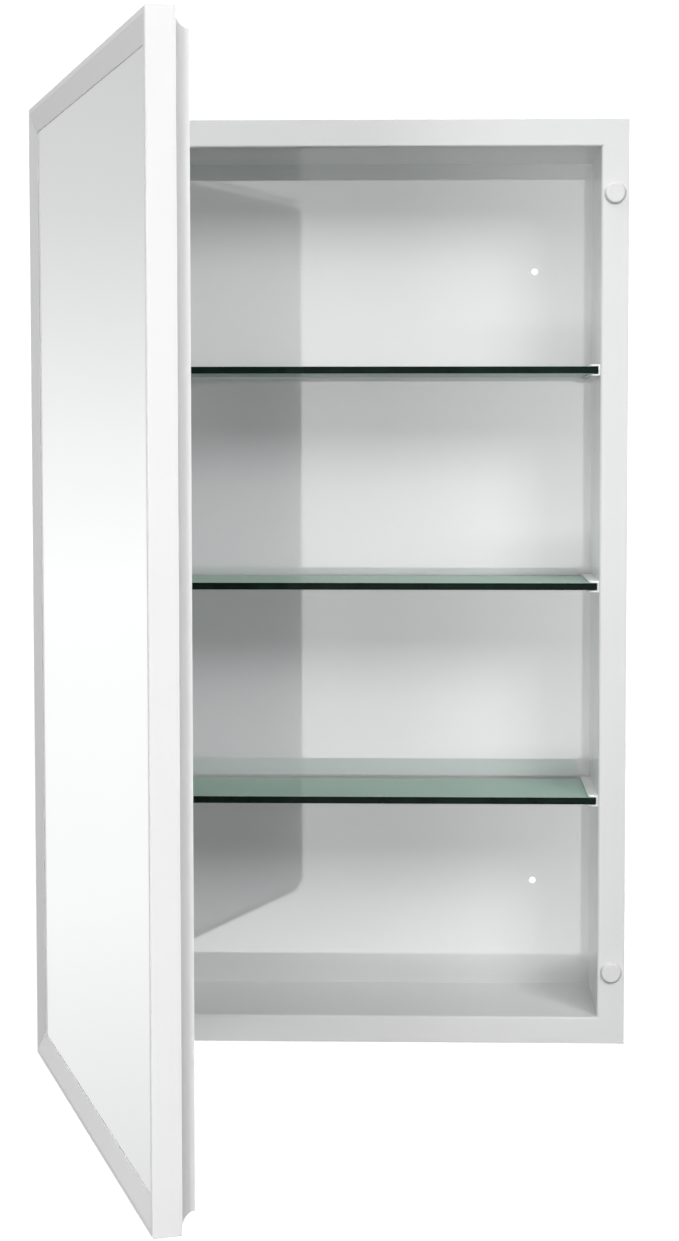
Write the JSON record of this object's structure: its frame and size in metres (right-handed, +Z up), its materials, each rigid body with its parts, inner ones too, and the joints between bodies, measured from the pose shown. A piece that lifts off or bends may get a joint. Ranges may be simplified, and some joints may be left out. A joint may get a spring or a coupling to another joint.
{
  "type": "medicine cabinet with mirror",
  "caption": "Recessed wall cabinet: shallow enamelled steel box with a face flange, glass shelves in side channels and a framed, bevelled mirror door hinged at the left.",
  "frame": {"origin": "centre of the four fixing holes, on the rear face of the back panel", "axes": "+Y into the wall, +Z up, +X to the right as seen from the front; the front faces -Y"},
  "size_m": [0.4147, 0.4901, 0.6604],
  "materials": {
    "side_left": "light grey enamel, high gloss",
    "side_right": "light grey enamel, high gloss",
    "top_panel": "light grey enamel, high gloss",
    "bottom_panel": "light grey enamel, high gloss",
    "back_panel": "light grey enamel, high gloss",
    "shelf_upper": "clear float glass with a green edge",
    "shelf_middle": "clear float glass with a green edge",
    "shelf_lower": "clear float glass with a green edge",
    "rail_upper_l": "white satin",
    "rail_upper_r": "white satin",
    "rail_middle_l": "white satin",
    "rail_middle_r": "white satin",
    "rail_lower_l": "white satin",
    "rail_lower_r": "white satin",
    "rail_rivets": "zinc plated",
    "bumper_upper": "soft white",
    "bumper_lower": "soft white",
    "catch_magnets": "zinc plated",
    "hinge_frame_upper": "zinc plated",
    "hinge_frame_lower": "zinc plated",
    "hinge_rivets": "zinc plated",
    "hinge_pins": "zinc plated",
    "door_stile_hinge": "fibreboard in white satin lacquer",
    "door_stile_free": "fibreboard in white satin lacquer",
    "door_rail_top": "fibreboard in white satin lacquer",
    "door_rail_bottom": "fibreboard in white satin lacquer",
    "mirror_glass": "silvered glass",
    "door_core": "plain fibreboard",
    "door_back": "fibreboard in white satin lacquer",
    "corner_splines": "plain fibreboard",
    "hinge_door_upper": "zinc plated",
    "hinge_door_lower": "zinc plated",
    "hinge_screws": "zinc plated",
    "strike_discs": "zinc plated"
  },
  "bodies": {
    "cabinet": {"side_left": "side_left", "side_right": "side_right", "top_panel": "top_panel", "bottom_panel": "bottom_panel", "back_panel": "back_panel", "shelf_upper": "shelf_upper", "shelf_middle": "shelf_middle", "shelf_lower": "shelf_lower", "rail_upper_l": "rail_upper_l", "rail_upper_r": "rail_upper_r", "rail_middle_l": "rail_middle_l", "rail_middle_r": "rail_middle_r", "rail_lower_l": "rail_lower_l", "rail_lower_r": "rail_lower_r", "rail_rivets": "rail_rivets", "bumper_upper": "bumper_upper", "bumper_lower": "bumper_lower", "catch_magnets": "catch_magnets", "hinge_frame_upper": "hinge_frame_upper", "hinge_frame_lower": "hinge_frame_lower", "hinge_rivets": "hinge_rivets", "hinge_pins": "hinge_pins"},
    "door": {"door_stile_hinge": "door_stile_hinge", "door_stile_free": "door_stile_free", "door_rail_top": "door_rail_top", "door_rail_bottom": "door_rail_bottom", "mirror_glass": "mirror_glass", "door_core": "door_core", "door_back": "door_back", "corner_splines": "corner_splines", "hinge_door_upper": "hinge_door_upper", "hinge_door_lower": "hinge_door_lower", "hinge_screws": "hinge_screws", "strike_discs": "strike_discs"}
  },
  "joints": [
    {"name": "door_hinge", "type": "hinge", "parent": "cabinet", "child": "door", "pos_m": [-0.1975, -0.1066, 0], "axis": [0, 0, -1], "range_deg": [-71, 27]}
  ]
}
